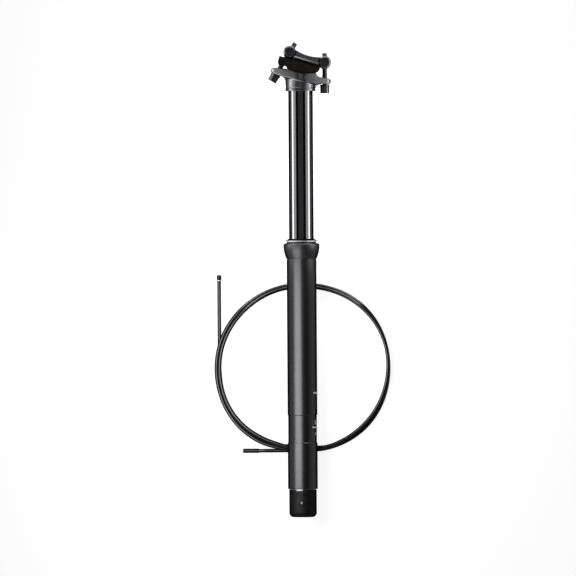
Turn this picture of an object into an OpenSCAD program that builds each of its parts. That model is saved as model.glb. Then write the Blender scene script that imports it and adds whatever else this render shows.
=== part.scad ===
// Dropper seatpost with a two bolt saddle clamp, lying on its side with its cable housing.
// +Y runs along the post towards the saddle, +X towards the front of the bicycle, +Z up from the table.
// The origin is on the post's axis, at the top of the wall that goes into the frame.
// The post's pieces are drawn upright, with z along the post, and laid down by lay().

/* [Lower tube] */
// Outer diameter of the lower tube, the size of the frame it fits
post_d = 31.6; // [30.4:0.1:32]
// Bore of the lower tube
post_bore_d = 27.2; // [26.8:0.1:28]
// Length of the plain wall that goes into the frame
insert_len = 164.8; // [140:0.1:190]
// Length of the slimmer waist below it
waist_len = 29.1; // [15:0.1:40]
// How much smaller the waist's radius is
waist_depth = 0.6; // [0.2:0.05:0.65]
// Height of the rubber bumper at the bottom of the stroke
bumper_h = 5.6; // [4:0.1:10]
// Depth of the end cap's plug inside the tube
plug_h = 3.3; // [3:0.1:8]
// Height of the tube's threaded end inside the collar
collar_thread_h = 11; // [8:0.1:12]
// Depth of the keyways in the tube's bore
keyway_depth = 0.7; // [0.4:0.05:0.75]

/* [Upper tube] */
// Outer diameter of the sliding tube
slider_d = 26.2; // [25:0.1:26.4]
// Bore of the sliding tube
slider_bore_d = 22; // [21.4:0.1:22.6]
// How far the saddle drops
travel = 150; // [100:1:170]
// Gap that is left between the head and the wiper when the post is down
head_gap = 6.6; // [5:0.1:12]
// Length of the sliding tube below the collar when the post is up
overlap_len = 84; // [80:0.5:90]
// Width of a guide key
key_w = 3; // [2:0.1:4]
// Length of a guide key
key_len = 16; // [10:0.5:18]
// Number of guide keys
key_count = 3; // [2:1:4]

/* [Collar and wiper] */
// Largest diameter of the seal collar
collar_d = 38.3; // [37:0.1:40]
// Height of the seal collar
collar_h = 16.8; // [16.2:0.1:19]
// Height of the wiper seal above the collar
wiper_rise = 4.5; // [4:0.1:6]
// Height of the upper bushing's lower end above the sliding tube's end
bushing_rise = 63; // [60:0.5:66]
// Length of the lower bushing
slider_bushing_len = 22; // [15:0.5:24]

/* [Saddle clamp] */
// Diameter of the saddle rails
rail_d = 7; // [7:0.1:8]
// Distance between the two rails
rail_gap = 44; // [44:0.5:46]
// Slope of the clamp, nose of the saddle down
clamp_tilt = 16.9; // [14:0.1:19]
// Distance between the two barrel nuts
barrel_span = 38.6; // [38:0.1:42]
// Forward offset of the clamp from the post's axis
clamp_x = 7.35; // [6:0.05:9]
// Height of the clamp above the head's lower edge
clamp_rise = 35.7; // [35:0.1:38]
// Radius of the curved seat that the cradle tilts on
seat_r = 45; // [44:0.5:46]
// Depth of that seat below the barrel nuts
seat_depth = 18; // [17.8:0.1:19]
// Half width of the cradle, which the post lies on
cradle_half_w = 30; // [29.4:0.1:32]
// Diameter of the yoke's cross sleeves
sleeve_d = 13.2; // [12.6:0.1:14]
// Half length of the cross sleeves
sleeve_half_len = 18; // [17.6:0.1:18]

/* [Clamp bolts] */
// Diameter of the bolts' shanks
bolt_d = 5; // [4.2:0.1:5.2]
// Diameter of the bolts' heads
bolt_head_d = 9.7; // [9:0.1:10.4]
// Diameter of the barrel nuts
barrel_d = 9.5; // [9:0.1:10]
// Lean of the rear bolt from the post's direction
rear_lean = 32; // [30:0.5:34]
// Distance from the rear barrel nut to the head's rear wing
rear_reach = 27.05; // [26:0.05:28]
// Distance from the front barrel nut to the head's front wing
front_reach = 23.3; // [23:0.05:25]
// Height of a washer
washer_h = 2.4; // [2:0.1:3]
// Length of a bolt head from the wing
head_drop = 9.3; // [8.4:0.1:10]
// How far the rear bolt reaches past its barrel nut's centre
rear_bolt_tip = 11.6; // [7:0.1:14]
// How far the front bolt reaches past its barrel nut's centre
front_bolt_tip = 10.1; // [7:0.1:14]

/* [Head] */
// Outer diameter of the neck round the sliding tube
neck_d = 32; // [30:0.1:33]
// Depth of the sliding tube inside the head
socket_depth = 11.4; // [8:0.1:12]
// Width of the head's plate across the middle
plate_w = 34; // [33:0.5:38]
// Width of the wings at their tips
wing_w = 16.4; // [15:0.1:18]
// Thickness of the wings at their tips
wing_t = 6.2; // [5.6:0.1:7]

/* [Locking cartridge] */
// Outer diameter of the cartridge's cylinder
cylinder_d = 20; // [19.6:0.1:20.6]
// Bore of the cylinder
cylinder_bore_d = 17; // [16:0.1:17.4]
// Diameter of the fixed piston rod
rod_d = 10; // [9:0.1:11]
// Diameter of the push rod that opens the valve
valve_d = 3; // [2.4:0.1:3.2]
// Height of the main piston
piston_h = 10; // [8:0.5:12]
// Height of the floating piston
float_h = 10; // [8:0.5:12]

/* [Actuator] */
// Outer diameter of the actuator housing
foot_d = 29.2; // [28.8:0.1:30]
// Length of the actuator housing
foot_len = 29.4; // [28.4:0.1:36]
// Radius of the housing's lower corner
foot_round = 4.8; // [3:0.1:4.8]
// Diameter of the lever's pivot pin
pivot_d = 2.4; // [2:0.1:3]
// Thickness of the actuator lever
lever_t = 5.2; // [4:0.1:6]
// Bore of the stop that takes the cable housing's ferrule
stop_bore_d = 5.1; // [5:0.05:5.4]
// Depth of that bore
stop_depth = 6; // [5:0.1:7]

/* [Cable housing] */
// Outer diameter of the cable housing
cable_d = 4; // [3.6:0.1:4.2]
// Diameter of a short ferrule
ferrule_d = 4.9; // [4.6:0.1:5]
// Length of a short ferrule
ferrule_len = 5.4; // [4:0.1:5.6]
// Diameter of the long ferrule
long_ferrule_d = 4.7; // [4.5:0.1:5]
// Length of the long ferrule
long_ferrule_len = 17; // [10:0.5:20]
// Distance between two layers of cable housing
layer_pitch = 4.45; // [4.45:0.05:4.8]
// Mean radius of the loops
loop_mean_r = 90.9; // [88:0.1:94]
// How much wider than tall the loops are, as a radius
loop_wide = 1.5; // [0:0.1:3]
// How square the loops are, as a radius
loop_square = 0.9; // [0:0.1:2]
// How far the loops are flattened at the upper left
loop_flat = 1.9; // [0:0.1:3]

/* [Hidden] */
$fn = 96;
eps = 0.01;

// Clearances: of a sliding fit, of a loose fit, and of pieces that are only fitted together
running = 0.05;
loose = 0.4;
fitted = 0.02;

// Radii that several pieces share
post_r = post_d / 2;
post_bore_r = post_bore_d / 2;
slider_r = slider_d / 2;
slider_bore_r = slider_bore_d / 2;
thread_r = post_r - 0.55;
keyway_r = post_bore_r + keyway_depth;
cylinder_r = cylinder_d / 2;
cylinder_bore_r = cylinder_bore_d / 2;
rod_r = rod_d / 2;
rod_bore_r = valve_d / 2 + loose;
stud_r = rod_r - 1;
foot_r = foot_d / 2;

// Levels along the post
waist_top = -insert_len;
waist_bottom = waist_top - waist_len;
collar_bottom = 0.5;
collar_top = collar_bottom + collar_h;
wiper_top = collar_top + wiper_rise;
wiper_r = slider_r + 2.55;
wiper_groove_low = collar_top + 1.15;
wiper_groove_high = wiper_groove_low + 1.55;
head_bottom = wiper_top + travel + head_gap;
socket_top = head_bottom + socket_depth;
slider_end = -overlap_len;
bumper_top = slider_end - travel - loose;
plug_top = bumper_top - bumper_h;
tube_end = plug_top - plug_h;
bushing_bottom = slider_end + bushing_rise;
key_bottom = slider_end + 6;
keyway_top = key_bottom + key_len + 6;
cap_flange_h = 2;
cap_flange_r = post_bore_r + 0.15;
skirt_bottom = tube_end - cap_flange_h - 4;
nut_h = 3.4;
nut_bottom = skirt_bottom - nut_h;
stud_end = nut_bottom - 0.2;
foot_top = tube_end - 0.5;
foot_bottom = foot_top - foot_len;
cylinder_end = slider_end + 5;
gland_bottom = cylinder_end + 2.6;
gland_h = 7;
piston_bottom = gland_bottom + gland_h + 2;
piston_top = piston_bottom + piston_h;
// The floating piston rises by the rod's share of the bore as the post goes down
float_ratio = pow(rod_r / cylinder_bore_r, 2);
float_bottom = piston_top + travel * (1 - float_ratio) + 7.4;
float_top = float_bottom + float_h;
cylinder_top = socket_top - 17.8;

// Clamp frame: its centre, the barrel nuts and the centre of the curved seat
clamp_z = head_bottom + clamp_rise;
barrel_u = barrel_span / 2;
seat_u = -8;
seat_n = seat_r - seat_depth;
function clamp_point(u, n) = [clamp_x + u * cos(clamp_tilt) + n * sin(clamp_tilt),
                              clamp_z - u * sin(clamp_tilt) + n * cos(clamp_tilt)];
rear_barrel = clamp_point(-barrel_u, 0);
front_barrel = clamp_point(barrel_u, 0);
seat_centre = clamp_point(seat_u, seat_n);
rear_seat = rear_barrel - rear_reach * [sin(rear_lean), cos(rear_lean)];
front_seat = front_barrel - front_reach * [0, 1];
rail_y = rail_gap / 2;
rail_r = rail_d / 2;
rail_n = -5.9;
jaw_n = rail_n + 1.3;
cradle_n = rail_n - 1.4;
clamp_front_u = barrel_u - 2.9;
cradle_rear_u = -barrel_u - 9.2;
jaw_front_u = barrel_u - 2.6;
jaw_rear_u = 5.8 - barrel_u;
jaw_y = rail_y + 4.5;
ball_r = 7;
ball_drop = 0.5 + ball_r + running;

// Actuator: the pivot, the lever's lobe and the cable's side
pivot = [-1.6, foot_top - 14];
hub_r = pivot_d / 2 + 0.9;
lobe_arm = 3.4;
lobe_start = 0;
lobe_r = hub_r + 0.3;
lobe = pivot + lobe_arm * [cos(lobe_start), sin(lobe_start)];
button_bottom = lobe[1] + lobe_r + running;
button_h = 0.7;
stop_x = -7.2;
lever_room = 0.8;

// Cable housing: the table, the layers and the loops' centre
table_z = -cradle_half_w;
cable_r = cable_d / 2;
loop_centre = [0.4, -115];
loop_step = 15;
long_start = 180;
short_start = 285;
loop_end = 615;
// Angle, and how far the long housing lies inside the outline there
long_inset = [[180, 3.4], [240, 3.4], [255, 3.6], [270, 5.6], [285, 1.8], [320, 3.4], [365, 0.2],
    [375, 0.2], [410, 2.2], [470, 2.4], [500, 3.4], [560, 3.4], [600, 4.8], [615, 4.0]];
// Angle, and how far the short housing lies inside the outline there
short_inset = [[285, 0], [600, 0], [615, 0.8]];
// Angle, and the layer that each housing lies in
long_layer = [[180, 0], [270, 0], [285, 1], [450, 1], [525, 2], [615, 2]];
short_layer = [[285, 0], [465, 0], [525, 1], [615, 1]];
// Straight ends of the two coils, as x and y
long_entry = [[-87.7, -94], [-87.7, -98]];
long_exit = [[-14.6, -198.6], [-6.4, -198.6]];
short_entry = [[-5, -202.9], [-1, -202.9]];
short_exit = [[-10, -201], [-5, -201]];
// Free ends of the housing, as x, y and height over the table
long_tail_route = [[-87.7, -21.5, 2.5], [-87.7, -26, 2.5], [-87.7, -36, 2.3], [-87.7, -48, 2.1],
    [-87.7, -62, 2.0], [-87.7, -76, 2.0], [-87.7, -88, 2.0], [-87.7, -94, 2.0]];
short_tail_route = [[-46.4, -202.9, 2.4], [-42, -202.9, 2.4], [-32, -202.9, 2.1], [-24, -202.9, 2.0],
    [-14, -202.9, 2.0], [-5, -202.9, 2.0]];

// Half the outline's flattening is gone a quarter of a turn from its middle
function flat_at(a) = let(b = a % 360) (b > 90 && b < 180) ? loop_flat * pow(sin(2 * (b - 90)), 2) : 0;
function outline_r(a) = loop_mean_r + loop_wide * cos(2 * a) - loop_square * cos(4 * a) - flat_at(a);
function layer_z(n) = table_z + cable_r + n * layer_pitch;
function loop_point(a, inset, layer) = let(r = outline_r(a) - inset)
    [loop_centre[0] + r * cos(a), loop_centre[1] + r * sin(a), layer_z(layer)];
function flat_points(list, layer) = [for (p = list) [p[0], p[1], layer_z(layer)]];
function loops(start, insets, layers) =
    [for (a = [start:loop_step:loop_end]) loop_point(a, lookup(a, insets), lookup(a, layers))];
function on_table(route) = [for (p = route) [p[0], p[1], p[2] + table_z]];
long_path = concat(flat_points(long_entry, 0), loops(long_start, long_inset, long_layer),
    flat_points(long_exit, 2));
short_path = concat(flat_points(short_entry, 0), loops(short_start, short_inset, short_layer),
    flat_points(short_exit, 1));

function unit(v) = v / norm(v);
function path_length(p) = len(p) < 2 ? 0 : [for (i = [1:len(p) - 1]) norm(p[i] - p[i - 1])] * [for (i = [1:len(p) - 1]) 1];
function heading(p, i) = let(last = len(p) - 1)
    i == 0 ? unit(p[1] - p[0]) : i == last ? unit(p[last] - p[last - 1])
    : unit(unit(p[i + 1] - p[i]) + unit(p[i] - p[i - 1]));
half_loop = 180 / loop_step;
function self_gap(p) = min([for (i = [0:len(p) - 1 - half_loop]) for (j = [i + half_loop:len(p) - 1])
    norm(p[i] - p[j])]) - cable_d;
function pair_gap(p, q) = min([for (a = p) for (b = q) norm(a - b)]) - cable_d;

echo("length of the long housing", path_length(long_path) + path_length(on_table(long_tail_route)));
echo("length of the short housing", path_length(short_path) + path_length(on_table(short_tail_route)));
echo("least gap of the long coil to itself", self_gap(long_path));
echo("least gap of the short coil to itself", self_gap(short_path));
echo("least gap between the two coils", pair_gap(long_path, short_path));
echo("float ratio", float_ratio, "seat centre", seat_centre);

// Lays a piece that is drawn upright down on the table
module lay() rotate([-90, 0, 0]) children();

// Puts a piece that is drawn in the clamp's own directions in its place
module in_clamp() lay() translate([clamp_x, 0, clamp_z]) rotate([0, clamp_tilt, 0]) children();

// Puts a piece that is drawn along a bolt from its barrel nut in its place
module on_bolt(barrel, lean) lay() translate([barrel[0], 0, barrel[1]]) rotate([0, lean, 0]) children();

// A ring between two radii and two levels
module ring(r_out, r_in, low, high) {
    difference() {
        translate([0, 0, low]) cylinder(r = r_out, h = high - low);
        translate([0, 0, low - eps]) cylinder(r = r_in, h = high - low + 2 * eps);
    }
}

// A round rod across the post, centred on it
module cross_rod(r, half_len) rotate([90, 0, 0]) cylinder(r = r, h = 2 * half_len, center = true);

// A flat outline in the post's side view, as thick as given across it
module across(thickness) rotate([90, 0, 0]) linear_extrude(height = thickness, center = true) children();

// Points of an arc, from one angle to another
function arc(centre, r, from, to, steps) =
    [for (i = [0:steps]) let(a = from + (to - from) * i / steps) centre + r * [cos(a), sin(a)]];

// A tube of six or eight sides that follows a list of points
module swept_tube(path, sides) {
    last = len(path) - 1;
    points = [for (i = [0:last]) let(t = heading(path, i), side = unit(cross(t, [0, 0, 1])), up = cross(side, t))
        for (k = [0:sides - 1]) let(a = 360 * k / sides - 90) path[i] + cable_r * (cos(a) * side + sin(a) * up)];
    walls = [for (i = [0:last - 1]) for (k = [0:sides - 1])
        let(a = i * sides + k, b = i * sides + (k + 1) % sides)
        each [[a, b, b + sides], [a, b + sides, a + sides]]];
    near_end = [for (k = [1:sides - 2]) [0, k + 1, k]];
    far_end = [for (k = [1:sides - 2]) [last * sides, last * sides + k, last * sides + k + 1]];
    polyhedron(points = points, faces = concat(walls, near_end, far_end), convexity = 8);
}

module lower_tube() {
    color([0.10, 0.10, 0.11]) lay() difference() {
        rotate_extrude() polygon([
            [post_bore_r, tube_end], [post_r - 0.4, tube_end], [post_r, tube_end + 0.4],
            [post_r, waist_bottom - waist_depth], [post_r - waist_depth, waist_bottom],
            [post_r - waist_depth, waist_top - waist_depth], [post_r, waist_top], [post_r, 0],
            [thread_r, 0], [thread_r, collar_thread_h], [post_bore_r, collar_thread_h]]);
        for (i = [0:key_count - 1]) rotate(90 + 360 * i / key_count)
            translate([post_bore_r - 1, -key_w / 2 - running, tube_end - 1])
                cube([1 + keyway_depth, key_w + 2 * running, keyway_top - tube_end + 1]);
    }
}

module seal_collar() {
    r = collar_d / 2;
    lip_z = collar_thread_h + fitted;
    pocket_z = lip_z + 1.5;
    flare_h = collar_h - 1.6;
    // The outside flares up from the lower tube and grows steep towards the top
    flare = [for (i = [0:8]) let(s = i / 8)
        [r - (r - post_r - 0.05) * pow(1 - s, 2.2), collar_bottom + flare_h * s]];
    color([0.09, 0.09, 0.10]) lay() rotate_extrude() polygon(concat(
        [[thread_r + fitted, collar_bottom]], flare,
        [[r - 0.7, collar_top - 0.6], [r - 2.5, collar_top], [wiper_r + fitted, collar_top],
        [wiper_r + fitted, pocket_z], [slider_r + 0.6, pocket_z], [slider_r + 0.6, lip_z],
        [thread_r + fitted, lip_z]]));
}

module wiper_seal() {
    pocket_z = collar_thread_h + fitted + 1.5;
    color([0.06, 0.06, 0.06]) lay() rotate_extrude() polygon([
        [slider_r + 0.35, pocket_z], [wiper_r, pocket_z], [wiper_r, wiper_groove_low],
        [wiper_r + 0.1, wiper_groove_low], [wiper_r + 0.1, wiper_groove_high],
        [wiper_r + 0.95, wiper_groove_high], [wiper_r + 1.05, wiper_groove_high + 0.25],
        [slider_r + 0.4, wiper_top], [slider_r + running, wiper_top - 0.3],
        [slider_r + running, wiper_top - 0.9], [slider_r + 0.6, wiper_top - 1.6],
        [slider_r + 0.6, collar_top]]);
}

module seal_ring() {
    r_in = wiper_r + 0.1 + fitted;
    color([0.80, 0.81, 0.83]) lay() ring(wiper_r + 0.85, r_in, wiper_groove_low, wiper_groove_high - fitted);
}

module upper_bushing() {
    color([0.45, 0.44, 0.40]) lay()
        ring(post_bore_r - fitted, slider_r + running, bushing_bottom, collar_thread_h);
}

module lower_end_cap() {
    flange_bottom = tube_end - cap_flange_h;
    color([0.75, 0.76, 0.78]) lay() difference() {
        rotate_extrude() polygon([
            [stud_r + running, skirt_bottom], [post_bore_r - 1.5, skirt_bottom],
            [post_bore_r - 1.5, flange_bottom], [cap_flange_r, flange_bottom], [cap_flange_r, tube_end],
            [post_bore_r - running, tube_end], [post_bore_r - running, plug_top],
            [stud_r + running, plug_top]]);
        for (a = [45:90:315]) rotate(a) translate([cap_flange_r, 0, flange_bottom - eps])
            cylinder(r = 0.8, h = cap_flange_h);
    }
}

module rod_nut() {
    color([0.78, 0.79, 0.80]) lay() difference() {
        translate([0, 0, nut_bottom]) cylinder(r = stud_r + 3.4, h = nut_h, $fn = 6);
        translate([0, 0, nut_bottom - eps]) cylinder(r = stud_r + fitted, h = nut_h + 2 * eps);
    }
}

module cartridge_rod() {
    rod_top = piston_bottom + piston_h - 2.5;
    color([0.70, 0.71, 0.73]) lay() rotate_extrude() polygon([
        [rod_bore_r, stud_end], [stud_r - 0.4, stud_end], [stud_r, stud_end + 0.4], [stud_r, plug_top],
        [rod_r, plug_top], [rod_r, rod_top - 0.5], [rod_r - 0.5, rod_top], [rod_bore_r, rod_top]]);
}

module rod_piston() {
    seat_z = piston_bottom + piston_h - 2.5;
    color([0.55, 0.56, 0.58]) lay() rotate_extrude() polygon([
        [rod_r + fitted, piston_bottom], [cylinder_bore_r - running, piston_bottom],
        [cylinder_bore_r - running, piston_bottom + 3.2], [cylinder_bore_r - 1.2, piston_bottom + 3.2],
        [cylinder_bore_r - 1.2, piston_bottom + 5.2], [cylinder_bore_r - running, piston_bottom + 5.2],
        [cylinder_bore_r - running, piston_top], [rod_bore_r, piston_top], [rod_bore_r, seat_z],
        [rod_r + fitted, seat_z]]);
}

module bottom_bumper() {
    high = bumper_top;
    color([0.12, 0.12, 0.12]) lay() rotate_extrude() polygon([
        [rod_r + 0.3, plug_top], [post_bore_r - 0.3, plug_top], [post_bore_r - 0.3, high - 1],
        [post_bore_r - 0.9, high], [rod_r + 0.9, high], [rod_r + 0.3, high - 1]]);
}

// Inside of the actuator housing, from the flange's recess down to the lever's room
module housing_cavity() {
    rotate_extrude() polygon([
        [0, nut_bottom - 0.9], [stud_r + 4.2, nut_bottom - 0.9], [stud_r + 4.2, skirt_bottom],
        [post_bore_r - 1.5 + running, skirt_bottom], [post_bore_r - 1.5 + running, tube_end - cap_flange_h],
        [cap_flange_r + running, tube_end - cap_flange_h], [cap_flange_r + running, foot_top + eps],
        [0, foot_top + eps]]);
    // Room for the lever, and a window beside the pivot for hooking in the cable
    slot_w = lever_t + 2 * lever_room;
    translate([stop_x - 4, -slot_w / 2, pivot[1] - 8]) cube([10 - stop_x, slot_w, 12.5]);
    translate([stop_x - 4, 0, pivot[1] - 8]) cube([pivot[0] - stop_x + 1.4, foot_r + 1, 12.5]);
}

module actuator_housing() {
    r = foot_r;
    color([0.13, 0.13, 0.14]) lay() difference() {
        rotate_extrude() polygon(concat(
            [[0, foot_bottom]],
            arc([r - foot_round, foot_bottom + foot_round], foot_round, -90, 0, 8),
            [[r, foot_top - 0.3], [r - 0.3, foot_top], [0, foot_top]]));
        housing_cavity();
        // Notch in the rim, where the silver end cap shows
        translate([-7.8, -foot_r - 1, foot_top - 1.4]) cube([7.8, foot_r, 2]);
        // Stop for the cable housing, and the cable's way to the lever
        translate([stop_x, 0, foot_bottom - eps]) cylinder(r = stop_bore_d / 2, h = stop_depth + eps);
        translate([stop_x, 0, foot_bottom]) cylinder(r = 1.2, h = foot_len / 2);
        translate([pivot[0], 0, pivot[1]]) cross_rod(pivot_d / 2 + fitted, foot_r + 1);
    }
}

module actuator_pin() {
    color([0.85, 0.86, 0.88]) lay() translate([pivot[0], 0, pivot[1]]) cross_rod(pivot_d / 2, foot_r - 0.15);
}

module actuator_lever() {
    seat_r_cable = 2.4;
    color([0.62, 0.63, 0.65]) lay() difference() {
        union() {
            translate([pivot[0], 0, pivot[1]]) cross_rod(hub_r, lever_t / 2);
            translate([lobe[0], 0, lobe[1]]) cross_rod(lobe_r, lever_t / 2);
            translate([stop_x, 0, pivot[1]]) cross_rod(seat_r_cable, lever_t / 2);
            across(lever_t) polygon([
                [stop_x, pivot[1] + seat_r_cable], [pivot[0], pivot[1] + hub_r],
                [pivot[0], pivot[1] - hub_r], [stop_x, pivot[1] - seat_r_cable]]);
            across(lever_t) polygon([
                [pivot[0], pivot[1] + hub_r - 1], [lobe[0], lobe[1] + lobe_r],
                [lobe[0], lobe[1] - lobe_r], [pivot[0], pivot[1] - hub_r]]);
        }
        translate([pivot[0], 0, pivot[1]]) cross_rod(pivot_d / 2 + running, lever_t);
        // Seat for the end of the inner cable, open below for the cable
        translate([stop_x, 0, pivot[1]]) cross_rod(1.5, lever_t);
        translate([stop_x - 0.7, -lever_t, pivot[1] - 4]) cube([1.4, 2 * lever_t, 4]);
    }
}

module valve_pin() {
    pin_top = piston_top - 3.5;
    color([0.80, 0.81, 0.82]) lay() {
        translate([0, 0, button_bottom]) cylinder(r = valve_d / 2 + 1.1, h = button_h);
        translate([0, 0, button_bottom]) cylinder(r = valve_d / 2, h = pin_top - button_bottom);
    }
}

module upper_tube() {
    color([0.03, 0.03, 0.035]) lay() difference() {
        ring(slider_r, slider_bore_r, slider_end, socket_top - 0.2);
        key_pockets(0);
    }
}

// Pockets in the sliding tube, or the keys that sit in them
module key_pockets(gap) {
    deep = slider_r - 1;
    for (i = [0:key_count - 1]) rotate(90 + 360 * i / key_count)
        translate([deep + gap, -key_w / 2 + gap, key_bottom + gap])
            cube([keyway_r - 0.1 - deep - gap, key_w - 2 * gap, key_len - 2 * gap]);
}

module guide_keys() {
    color([0.72, 0.55, 0.25]) lay() key_pockets(fitted);
}

module lower_bushing() {
    high = bushing_bottom - 5;
    color([0.45, 0.44, 0.40]) lay()
        ring(post_bore_r - running, slider_r + fitted, high - slider_bushing_len, high);
}

module top_out_bumper() {
    high = bushing_bottom - 0.5;
    color([0.10, 0.10, 0.10]) lay() ring(post_bore_r - 0.12, slider_r + fitted, high - 4.4, high);
}

module tube_end_ring() {
    color([0.60, 0.61, 0.63]) lay() rotate_extrude() polygon([
        [cylinder_bore_r - 1.2, slider_end + 0.5], [slider_bore_r - fitted, slider_end + 0.5],
        [slider_bore_r - fitted, cylinder_end + 4], [cylinder_r + fitted, cylinder_end + 4],
        [cylinder_r + fitted, cylinder_end], [cylinder_bore_r - 1.2, cylinder_end]]);
}

module cartridge_cylinder() {
    groove = cylinder_bore_r + 0.45;
    color([0.66, 0.67, 0.69]) lay() rotate_extrude() polygon([
        [cylinder_bore_r, cylinder_end], [cylinder_r, cylinder_end], [cylinder_r, cylinder_top],
        [cylinder_bore_r, cylinder_top], [cylinder_bore_r, gland_bottom], [groove, gland_bottom],
        [groove, gland_bottom - 1.4], [cylinder_bore_r, gland_bottom - 1.4]]);
}

module cylinder_gland() {
    r = cylinder_bore_r - fitted;
    color([0.50, 0.51, 0.53]) lay() rotate_extrude() polygon([
        [rod_r + running, gland_bottom], [r, gland_bottom], [r, gland_bottom + 2.5],
        [r - 1, gland_bottom + 2.5], [r - 1, gland_bottom + 4.3], [r, gland_bottom + 4.3],
        [r, gland_bottom + gland_h], [rod_r + running, gland_bottom + gland_h]]);
}

module gland_circlip() {
    color([0.30, 0.30, 0.32]) lay() difference() {
        ring(cylinder_bore_r + 0.4, cylinder_bore_r - 1.3, gland_bottom - 1.35, gland_bottom - 0.05);
        translate([-2, 0, gland_bottom - 2]) cube([4, cylinder_r, 3]);
    }
}

module cylinder_cap() {
    flange_r = cylinder_r - fitted;
    color([0.60, 0.61, 0.63]) lay() rotate_extrude() polygon([
        [0, cylinder_top - 5], [cylinder_bore_r - fitted, cylinder_top - 5],
        [cylinder_bore_r - fitted, cylinder_top], [flange_r, cylinder_top], [flange_r, cylinder_top + 3],
        [3.5, cylinder_top + 5], [3.5, socket_top], [0, socket_top]]);
}

module floating_piston() {
    r = cylinder_bore_r - running;
    color([0.58, 0.50, 0.30]) lay() rotate_extrude() polygon([
        [0, float_bottom], [r, float_bottom], [r, float_bottom + 3.5], [r - 1.2, float_bottom + 3.5],
        [r - 1.2, float_bottom + 5.7], [r, float_bottom + 5.7], [r, float_top], [r - 3, float_top],
        [r - 3, float_top - 4], [0, float_top - 4]]);
}

// Side view of the head's plate, from the rear wing's tip round to the front wing's tip
module plate_outline() {
    tip_r = wing_t / 2;
    neck_r = neck_d / 2;
    rear_tip = rear_seat + [-2.9, 0.7 + tip_r];
    front_tip = front_seat + [3.8, 0.3 + tip_r];
    saddle_front = clamp_point(13.1, -12.3);
    saddle_rear = clamp_point(-14.6, -17.4);
    blend_r = 6.2;
    polygon(concat(
        arc(rear_tip, tip_r, 250, 80, 6),
        [saddle_rear + [-7, 0.9], saddle_rear, saddle_front],
        arc([saddle_front[0] + blend_r + 0.2, front_tip[1] + tip_r + blend_r + 1.2], blend_r, 185, 262, 6),
        arc(front_tip, tip_r, 85, -90, 6),
        [[neck_r + 5, front_tip[1] - tip_r + 0.6], [neck_r - 1, front_tip[1] - tip_r],
         [0, socket_top - 0.9], [1 - neck_r, rear_seat[1] - 4], [-neck_r - 5.5, rear_seat[1] - 2.2]]));
}

// Plan view of the head's plate: a disc that tapers into a wing each way
module plate_plan() {
    r_mid = plate_w / 2;
    r_tip = wing_w / 2;
    rear_x = 1 + rear_seat[0];
    front_x = front_seat[0] - 1;
    rear_lean = asin((r_mid - r_tip) / -rear_x);
    front_lean = asin((r_mid - r_tip) / front_x);
    polygon(concat(
        arc([front_x, 0], r_tip, front_lean - 90, 90 - front_lean, 14),
        arc([0, 0], r_mid, 90 - front_lean, 90 + rear_lean, 8),
        arc([rear_x, 0], r_tip, 90 + rear_lean, 270 - rear_lean, 14),
        arc([0, 0], r_mid, 270 - rear_lean, 270 + front_lean, 8)));
}

// Rounded webs that carry the wings' load down into the neck
module wing_webs() {
    root = neck_d / 2 - 0.5;
    front_low = front_seat[1] + 0.3;
    rear_low = rear_seat[1] - 2;
    across(7) polygon(concat(
        [[root - 4, front_low + 1], [root + 6, front_low + 1]],
        arc([root + 6, front_low - 6], 6, 90, 180, 8), [[root - 4, front_low - 6]]));
    across(7) polygon(concat(
        [[4 - root, rear_low + 2], [4 - root, rear_low - 7]],
        arc([-root - 7, rear_low - 7], 7, 0, 72, 8), [[-root - 6, rear_low + 2]]));
}

// Neck round the sliding tube, with a beveled edge and a fine groove above it
module neck(high) {
    r = neck_d / 2;
    translate([0, 0, head_bottom]) rotate_extrude() polygon([
        [0, 0], [r - 0.5, 0], [r, 0.5], [r, 1.8], [r - 0.3, 2], [r - 0.3, 2.3], [r, 2.5],
        [r, high], [0, high]]);
}

module post_head() {
    hole_r = bolt_d / 2 + 1.4;
    color([0.14, 0.14, 0.15]) difference() {
        lay() union() {
            intersection() {
                across(plate_w + 2) plate_outline();
                translate([0, 0, head_bottom]) linear_extrude(height = 60) plate_plan();
            }
            neck(socket_depth + 4.6);
            wing_webs();
        }
        lay() translate([0, 0, head_bottom - 1]) cylinder(r = slider_r + fitted, h = socket_depth + 1);
        lay() translate([seat_centre[0], 0, seat_centre[1]]) cross_rod(seat_r + running, plate_w);
        // Way and spot face of each bolt
        on_bolt(rear_barrel, rear_lean) bolt_way(rear_reach, hole_r);
        on_bolt(front_barrel, 0) bolt_way(front_reach, hole_r + 0.3);
        // Vent in the back of the neck
        lay() translate([-neck_d / 2 - 1, 0, head_bottom + 5.2]) rotate([0, 90, 0]) cylinder(r = 1.3, h = 4);
    }
}

module bolt_way(reach, hole_r) {
    translate([0, 0, -reach - 6]) cylinder(r = hole_r, h = 24);
    translate([0, 0, -reach - 8]) cylinder(r = bolt_head_d / 2 + 0.9, h = 8);
}

// A washer with a round seat that lets its bolt lean
module washer(reach) {
    difference() {
        translate([0, 0, -reach - washer_h]) cylinder(r = bolt_head_d / 2 + 0.35, h = washer_h);
        translate([0, 0, -reach - 2 * washer_h]) cylinder(r = bolt_d / 2 + 1, h = 3 * washer_h);
        translate([0, 0, -reach - ball_drop]) sphere(r = ball_r + running);
    }
}

module front_washer() {
    color([0.20, 0.20, 0.21]) on_bolt(front_barrel, 0) washer(front_reach);
}

module rear_washer() {
    color([0.20, 0.20, 0.21]) on_bolt(rear_barrel, rear_lean) washer(rear_reach);
}

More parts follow.
